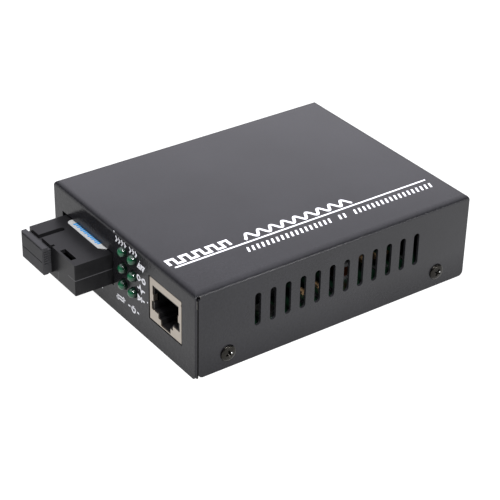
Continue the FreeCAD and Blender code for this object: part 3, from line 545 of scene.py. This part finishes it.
# adds a printed stroke as a thin closed slab on the plane given by toSpace
def addStroke(form, points, width, toSpace, closed=False):
    low, high = ink["low"], ink["high"]
    rows = []
    for left, right in strokeEdges(points, width, closed):
        section = ((left, low), (right, low), (right, high), (left, high))
        rows.append([form.verts.new(toSpace(p.x, p.y, h)) for p, h in section])
    count = len(rows)
    for i in range(count if closed else count - 1):
        a = rows[i]
        b = rows[(i + 1) % count]
        for k in range(4):
            form.faces.new((a[k], a[(k + 1) % 4], b[(k + 1) % 4], b[k]))
    if not closed:
        form.faces.new(rows[0][::-1])
        form.faces.new(rows[-1])


# points on a ring or an arc, angles in degrees
def ring(u, v, radius, fromAngle, toAngle, steps):
    closed = toAngle - fromAngle >= 360
    count = steps if closed else steps + 1
    angles = [math.radians(fromAngle + (toAngle - fromAngle) * i / steps) for i in range(count)]
    return [(u + radius * math.cos(a), v + radius * math.sin(a)) for a in angles]


def onTop(u, v, h):
    return (v, u, cadTop + h)          # u runs to the rear, v to the right


def onFront(u, v, h):
    return (u, frontPanelY - h, v)     # u to the right, v up, h out of the panel


topPrint = {
    "ruleX": 22.65,            # mm; the long rule
    "ruleWidth": 0.6,
    "ruleFrom": -44.2,
    "ruleTo": 42.2,
    "bandTop": 18.2,           # the waves swing between these two lines
    "bandBottom": 21.7,
    "stroke": 0.85,
    "squareFrom": -44.6,
    "squarePitch": 4.3,
    "squareCount": 5,
    "roundFrom": -20.6,
    "roundPitch": 4.1,
    "roundCount": 9,
    "roundSteps": 16,          # points in one wave
    "hatchTop": 24.75,         # the row of slanted ticks
    "hatchBottom": 26.95,
    "hatchStroke": 0.62,
    "hatchSlant": 0.8,
    "hatchPitch": 1.62,
    "hatchRuns": [(-23.2, 18), (8.0, 2), (13.4, 18)],    # start and number of ticks
}


# white print on the lid: a rule, a square wave that turns into a round one, and a row of ticks
def makeTopPrint():
    form = bmesh.new()
    look = topPrint
    addStroke(form, [(look["ruleFrom"], look["ruleX"]), (look["ruleTo"], look["ruleX"])],
              look["ruleWidth"], onTop)
    top = look["bandTop"] + look["stroke"] / 2
    bottom = look["bandBottom"] - look["stroke"] / 2
    wave = []
    for i in range(look["squareCount"]):
        u = look["squareFrom"] + look["squarePitch"] * i
        wave += [(u, bottom), (u, top), (u + look["squarePitch"] / 2, top),
                 (u + look["squarePitch"] / 2, bottom)]
    addStroke(form, wave, look["stroke"], onTop)
    middle = (top + bottom) / 2
    swing = (bottom - top) / 2
    steps = look["roundSteps"]
    wave = []
    for i in range(look["roundCount"] * steps + 1):
        wave.append((look["roundFrom"] + look["roundPitch"] * i / steps,
                     middle + swing * math.cos(2 * math.pi * i / steps)))
    addStroke(form, wave, look["stroke"], onTop)
    for u, count in look["hatchRuns"]:
        for i in range(count):
            here = u + look["hatchPitch"] * i
            addStroke(form, [(here, look["hatchBottom"]),
                             (here + look["hatchSlant"], look["hatchTop"])],
                      look["hatchStroke"], onTop)
    makePiece("topPrint", form, "whiteInk", "converter")


makeTopPrint()
print("top print done")


frontPrint = {
    "stroke": 0.5,             # mm
    "chevronHeight": 1.8,
    "chevronWidth": 0.75,
    "chevronPitch": 1.45,
    "chevrons": [(-2.5, 24.4, 4), (4.6, 24.4, 3)],     # x, z and number: fast, and slow
    "rings": [                 # x, z, radius, then the angles and steps of the arc
        (9.1, 17.8, 0.72, 0, 360, 18),                 # link: two closed rings
        (11.7, 17.8, 0.72, 0, 360, 18),
        (6.2, 5.8, 0.855, 125, 415, 16),               # power: an open ring
    ],
    "symbols": [               # z of the middle line, closed or not, (x, z from that line)
        (21.7, True, [(8.75, -0.63), (10.25, -0.63), (9.5, 0.72)]),          # copper: out
        (21.7, True, [(10.55, 0.63), (12.05, 0.63), (11.3, -0.72)]),         # and in
        (17.8, False, [(9.82, 0), (10.98, 0)]),                              # bar of the link
        (14.5, False, [(8.4, 0), (9.3, 0), (9.8, 0.9), (10.5, -0.9), (11.0, 0),
                       (12.2, 0)]),                                          # traffic
        (11.3, True, [(8.7, -0.72), (8.7, 0.72), (10.1, 0)]),                # fibre: a source
        (11.3, False, [(10.45, -0.81), (10.45, 0.81)]),
        (11.3, False, [(10.9, 0), (12.0, 0)]),                               # and its beam
        (5.9, False, [(-2.3, 0.45), (1.3, 0.45)]),                           # both ways at once
        (5.9, False, [(0.75, 1.05), (1.6, 0.45), (0.75, -0.15)]),
        (5.9, False, [(-2.3, -0.45), (1.3, -0.45)]),
        (5.9, False, [(-1.75, 0.15), (-2.6, -0.45), (-1.75, -1.05)]),
        (5.9, False, [(6.2, 0.1), (6.2, 1.125)]),                            # power: its bar
        (5.9, False, [(3.35, 0), (4.45, 0)]),                                # and its poles
        (5.9, False, [(7.95, 0), (9.05, 0)]),
    ],
    "specks": [                # x, z and radius
        (-10.5, 4.0, 0.16), (13.5, 12.0, 0.14), (9.9, 23.2, 0.08), (-3.3, 26.1, 0.1),
    ],
    "speckShape": [(-1.0, -0.4), (0.0, 0.3), (1.0, 0.1)],     # in radii of the speck
}


# white symbols round the lamps: plain shapes, no letters
def makeFrontPrint():
    form = bmesh.new()
    look = frontPrint

    def draw(points, closed=False):
        addStroke(form, points, look["stroke"], onFront, closed)

    half = look["chevronHeight"] / 2
    for first, z, count in look["chevrons"]:
        for i in range(count):
            u = first + look["chevronPitch"] * i
            draw([(u, z + half), (u + look["chevronWidth"], z), (u, z - half)])
    for u, z, radius, fromAngle, toAngle, steps in look["rings"]:
        draw(ring(u, z, radius, fromAngle, toAngle, steps), toAngle - fromAngle >= 360)
    for z, closed, points in look["symbols"]:
        draw([(u, z + v) for u, v in points], closed)
    for u, z, radius in look["specks"]:                    # stray flecks of ink
        draw([(u + radius * a, z + radius * b) for a, b in look["speckShape"]])
    makePiece("frontPrint", form, "whiteInk", "converter")


makeFrontPrint()
print("front print done")


labelPrint = {
    "from": -24.0,             # mm; x of the first bar
    "to": -10.3,
    "pitch": 0.98,
    "front": -48.3,            # y of the bars' front ends
    "shorter": (0.0, 0.25, 0.1, 0.4),      # how far they fall short of it, in turn
    "slant": 0.25,
    "underPanel": 0.6,         # how far they run on behind the panel's front
    "stroke": 0.72,
    "thickness": 0.5,          # of the other ink
}


# blue bars on the transceiver's label, of uneven length
def makeLabelPrint():
    form = bmesh.new()
    look = labelPrint
    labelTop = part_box("transceiver_label")[1].z / mm

    def onLabel(u, v, h):
        return (u, v, labelTop + h * look["thickness"])

    rear = frontPanelY + look["underPanel"]
    count = int((look["to"] - look["from"]) / look["pitch"])
    for i in range(count + 1):
        u = look["from"] + look["pitch"] * i
        front = look["front"] + look["shorter"][i % len(look["shorter"])]
        addStroke(form, [(u, front), (u + look["slant"], rear)], look["stroke"], onLabel)
    makePiece("labelPrint", form, "blueInk", "converter")


makeLabelPrint()
print("label print done")


def addBlock(form, low, high):
    corners = bmesh.ops.create_cube(form, size=1.0)["verts"]
    middle = (Vector(low) + Vector(high)) / 2
    size = Vector(high) - Vector(low)
    for vert in corners:
        vert.co = middle + Vector((vert.co.x * size.x, vert.co.y * size.y, vert.co.z * size.z))


seamShade = {
    "strips": [                # mm; x and y of the strips on the right side
        ((35.7, 36.35), (-46.45, -46.0)),      # between the front wall and the side wall
        ((35.25, 35.7), (46.5, 47.1)),         # in the rear face
    ],
    "z": (0.02, 24.7),
}


# painted shade: black strips deep in the four upright seams of the case, where the seams lie in
# shadow
def makeSeamShade():
    form = bmesh.new()
    low, high = seamShade["z"]
    for side in (1, -1):
        for x, y in seamShade["strips"]:
            left, right = sorted(side * edge for edge in x)
            addBlock(form, (left, y[0], low), (right, y[1], high))
    makePiece("seamShade", form, "shadeBlack", "converter")


reliefStrokes = {
    "y": -46.15,               # mm; middle of the arc beside a relief
    "z": 25.25,
    "radius": 0.76,
    "arc": (5, 70),            # degrees
    "steps": 8,
    "edgeY": -46.56,           # a line along the edge of the front wall
    "edgeZ": (22.2, 24.6),
    "width": 0.15,
}


# pale steel strokes: an arc beside each corner relief and a line on the front wall's edge
def makeReliefStrokes():
    look = reliefStrokes
    form = bmesh.new()
    for side in (1, -1):
        def onSide(u, v, h):
            return (side * (sidePanelX + h), u, v)

        addStroke(form, ring(look["y"], look["z"], look["radius"], *look["arc"], look["steps"]),
                  look["width"], onSide)
        addStroke(form, [(look["edgeY"], z) for z in look["edgeZ"]], look["width"], onSide)
    makePiece("reliefStrokes", form, "paleSteel", "converter")


makeSeamShade()
makeReliefStrokes()
print("seams and wear done")


jackGapShade = {
    "faceHeight": 13.3,        # mm; the shield's face, without its legs
    "gaps": (0.6, 0.25, 0.5, 0.2),      # left, right, below and above the shield
    "back": 0.12,              # behind the panel's front
    "depth": 0.6,
    "clear": 0.02,             # kept between the black frame and what is round it
}


# painted shade: a black frame in the gap between the jack's shield and its opening, where the gap
# lies in shadow
def makeJackGapShade():
    look = jackGapShade
    low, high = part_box("jack_shield")
    left, right, below, above = look["gaps"]
    clear = look["clear"]
    x0, x1 = low.x / mm - clear, high.x / mm + clear
    z1 = high.z / mm + clear
    z0 = high.z / mm - look["faceHeight"] - clear
    y0 = frontPanelY + look["back"]
    y1 = y0 + look["depth"]
    outerX0, outerX1 = x0 - left + 2 * clear, x1 + right - 2 * clear
    outerZ0, outerZ1 = z0 - below + 2 * clear, z1 + above - 2 * clear
    form = bmesh.new()
    addBlock(form, (outerX0, y0, outerZ0), (x0, y1, outerZ1))
    addBlock(form, (x1, y0, outerZ0), (outerX1, y1, outerZ1))
    addBlock(form, (x0, y0, outerZ0), (x1, y1, z0))
    addBlock(form, (x0, y0, z1), (x1, y1, outerZ1))
    makePiece("jackGapShade", form, "shadeBlack", "converter")


makeJackGapShade()
print("jack gasket done")


mouldLines = {
    "stroke": 0.24,            # mm
    "splitZ": 13.5,
    "frontFrom": -8.5,         # x where the line starts on the front
    "cornerClear": 0.05,       # kept from the front corner
    "panelClear": 0.1,
    "seamX": -14.1,            # a short upright line on the front
    "seamZ": (8.7, 11.5),
}


# the mould's parting line round the transceiver and a short one on its front
def makeMouldLines():
    look = mouldLines
    low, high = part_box("transceiver_lower_shell")
    sideX = high.x / mm
    faceY = low.y / mm
    form = bmesh.new()

    def onSide(u, v, h):
        return (sideX + h, u, v)

    def onFace(u, v, h):
        return (u, faceY - h, v)

    z = look["splitZ"]
    addStroke(form, [(faceY + look["cornerClear"], z), (frontPanelY - look["panelClear"], z)],
              look["stroke"], onSide)
    addStroke(form, [(look["frontFrom"], z), (sideX - look["cornerClear"], z)],
              look["stroke"], onFace)
    addStroke(form, [(look["seamX"], z) for z in look["seamZ"]], look["stroke"], onFace)
    makePiece("mouldLines", form, "mouldFlash", "converter")


makeMouldLines()
print("mould lines done")


coverScrew = {
    "edge": 0.22,              # mm; height of the head's upright edge
    "domeSteps": 8,
    "domePower": 0.8,          # below 1 the dome has fuller shoulders
    "steps": 48,               # round the axis
    "recess": 1.35,            # half length of the cross
    "arm": 0.3,                # half width of its arms
    "inner": 1.35,             # its inner corners, in half widths
    "depth": 0.75,
    "above": 0.3,              # how far the punch stands out of the head
    "taper": (1.15, 0.35),     # size of the punch there and at its foot
    "shankRadius": 1.4,
    "shankLength": 3.0,
    "thread": 0.18,
    "pitch": 0.5,
    "tip": 0.4,
    "turns": [12, -31, 50, 74],     # degrees; where each cross came to rest
    "crispEdges": 32,          # degrees
}


# turned form round the x axis; its profile runs as (x, radius) from the head to the shank's tip
def addTurned(form, profile, steps):
    rings = []
    for x, radius in profile:
        if radius < 1e-6:
            rings.append([form.verts.new((x, 0, 0))])
        else:
            rings.append([form.verts.new((x, radius * math.cos(2 * math.pi * k / steps),
                                          radius * math.sin(2 * math.pi * k / steps)))
                          for k in range(steps)])
    for a, b in zip(rings, rings[1:]):
        for k in range(steps):
            n = (k + 1) % steps
            if len(a) == 1:
                form.faces.new((a[0], b[k], b[n]))
            elif len(b) == 1:
                form.faces.new((a[k], a[n], b[0]))
            else:
                form.faces.new((a[k], a[n], b[n], b[k]))


# an object that is only a step on the way to a mesh
def makeHelper(name, form):
    bmesh.ops.recalc_face_normals(form, faces=form.faces)
    mesh = bpy.data.meshes.new(name)
    form.to_mesh(mesh)
    form.free()
    helper = bpy.data.objects.new(name, mesh)
    bpy.context.scene.collection.objects.link(helper)
    return helper


# head and threaded shank along +x, with the head's seat at x = 0
def screwBlank(radius, height):
    look = coverScrew
    crown = height - look["edge"]
    profile = []
    for i in range(look["domeSteps"]):                     # domed top, rounded into the edge
        a = math.radians(90 * i / look["domeSteps"])
        profile.append((look["edge"] + crown * math.cos(a) ** look["domePower"],
                        radius * math.sin(a)))
    profile += [(look["edge"], radius), (0.0, radius), (0.0, look["shankRadius"])]
    x = 0.0
    while x > -look["shankLength"]:
        x -= look["pitch"] / 2
        profile.append((x, look["shankRadius"] - look["thread"]))
        x -= look["pitch"] / 2
        profile.append((x, look["shankRadius"]))
    profile.append((x - look["tip"], 0.0))
    form = bmesh.new()
    addTurned(form, profile, look["steps"])
    return makeHelper("screwBlank", form)


# tapered cross that cuts the recess
def crossPunch(height):
    look = coverScrew
    reach, arm = look["recess"], look["arm"]
    inner = arm * look["inner"]
    cross = [(reach, -arm), (reach, arm), (inner, inner), (arm, reach), (-arm, reach),
             (-inner, inner), (-reach, arm), (-reach, -arm), (-inner, -inner),
             (-arm, -reach), (arm, -reach), (inner, -inner)]
    form = bmesh.new()
    rows = []
    for x, k in zip((height + look["above"], height - look["depth"]), look["taper"]):
        rows.append([form.verts.new((x, u * k, v * k)) for u, v in cross])
    form.faces.new(rows[0])
    form.faces.new(rows[1][::-1])
    for i in range(len(cross)):
        j = (i + 1) % len(cross)
        form.faces.new((rows[0][i], rows[1][i], rows[1][j], rows[0][j]))
    return makeHelper("crossPunch", form)


# mesh of one screw with the cross cut out of its head
def screwMesh(radius, height):
    blank = screwBlank(radius, height)
    punch = crossPunch(height)
    cut = blank.modifiers.new("cut", "BOOLEAN")
    cut.operation = "DIFFERENCE"
    cut.solver = "EXACT"
    cut.object = punch
    bpy.context.view_layer.update()
    graph = bpy.context.evaluated_depsgraph_get()
    result = bpy.data.meshes.new_from_object(blank.evaluated_get(graph))
    bpy.data.objects.remove(blank)
    bpy.data.objects.remove(punch)
    return result


# radius and height of a head, then y and z of the screw nearest the rear right corner, in mm
def screwPlace():
    low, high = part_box("cover_screws")
    radius = (high.z - low.z) / 2 / mm
    return radius, high.x / mm - sidePanelX, high.y / mm - radius, (high.z + low.z) / 2 / mm


# the four cross-headed pan screws that hold the cover to the tray
def makeCoverScrews():
    radius, height, middleY, middleZ = screwPlace()
    blank = screwMesh(radius, height)
    form = bmesh.new()
    corners = [(1, -1), (1, 1), (-1, -1), (-1, 1)]
    for (side, end), turn in zip(corners, coverScrew["turns"]):
        start = len(form.verts)
        form.from_mesh(blank)
        form.verts.ensure_lookup_table()
        own = form.verts[start:]
        bmesh.ops.rotate(form, cent=(0, 0, 0), verts=own,
                         matrix=Matrix.Rotation(math.radians(turn), 3, "X"))
        if side < 0:
            bmesh.ops.rotate(form, cent=(0, 0, 0), verts=own,
                             matrix=Matrix.Rotation(math.pi, 3, "Z"))
        bmesh.ops.translate(form, vec=(side * sidePanelX, end * middleY, middleZ), verts=own)
    for face in form.faces:
        face.smooth = True
    piece = makePiece("coverScrews", form, "blackNickelSteel", "converter")
    edges = piece.modifiers.new("edges", "EDGE_SPLIT")
    edges.split_angle = math.radians(coverScrew["crispEdges"])
    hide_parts("cover_screws")


makeCoverScrews()
print("cover screws done")


screwGlints = {
    "out": 0.62,               # mm; middle of a bead from the head's seat
    "rear": 0.8,               # and from the screw's axis
    "radius": 0.34,
    "subdivisions": 2,
}


# painted highlight: a bright steel bead beside each recess, set there to catch a glint
def makeScrewGlints():
    look = screwGlints
    middleY, middleZ = screwPlace()[2:]
    form = bmesh.new()
    for side in (1, -1):
        for end in (1, -1):
            ball = bmesh.ops.create_icosphere(form, subdivisions=look["subdivisions"],
                                              radius=look["radius"])["verts"]
            bmesh.ops.translate(form, verts=ball, vec=(side * (sidePanelX + look["out"]),
                                                       end * middleY + look["rear"], middleZ))
    makePiece("screwGlints", form, "zincSteel", "converter")


makeScrewGlints()
print("screw burrs done")
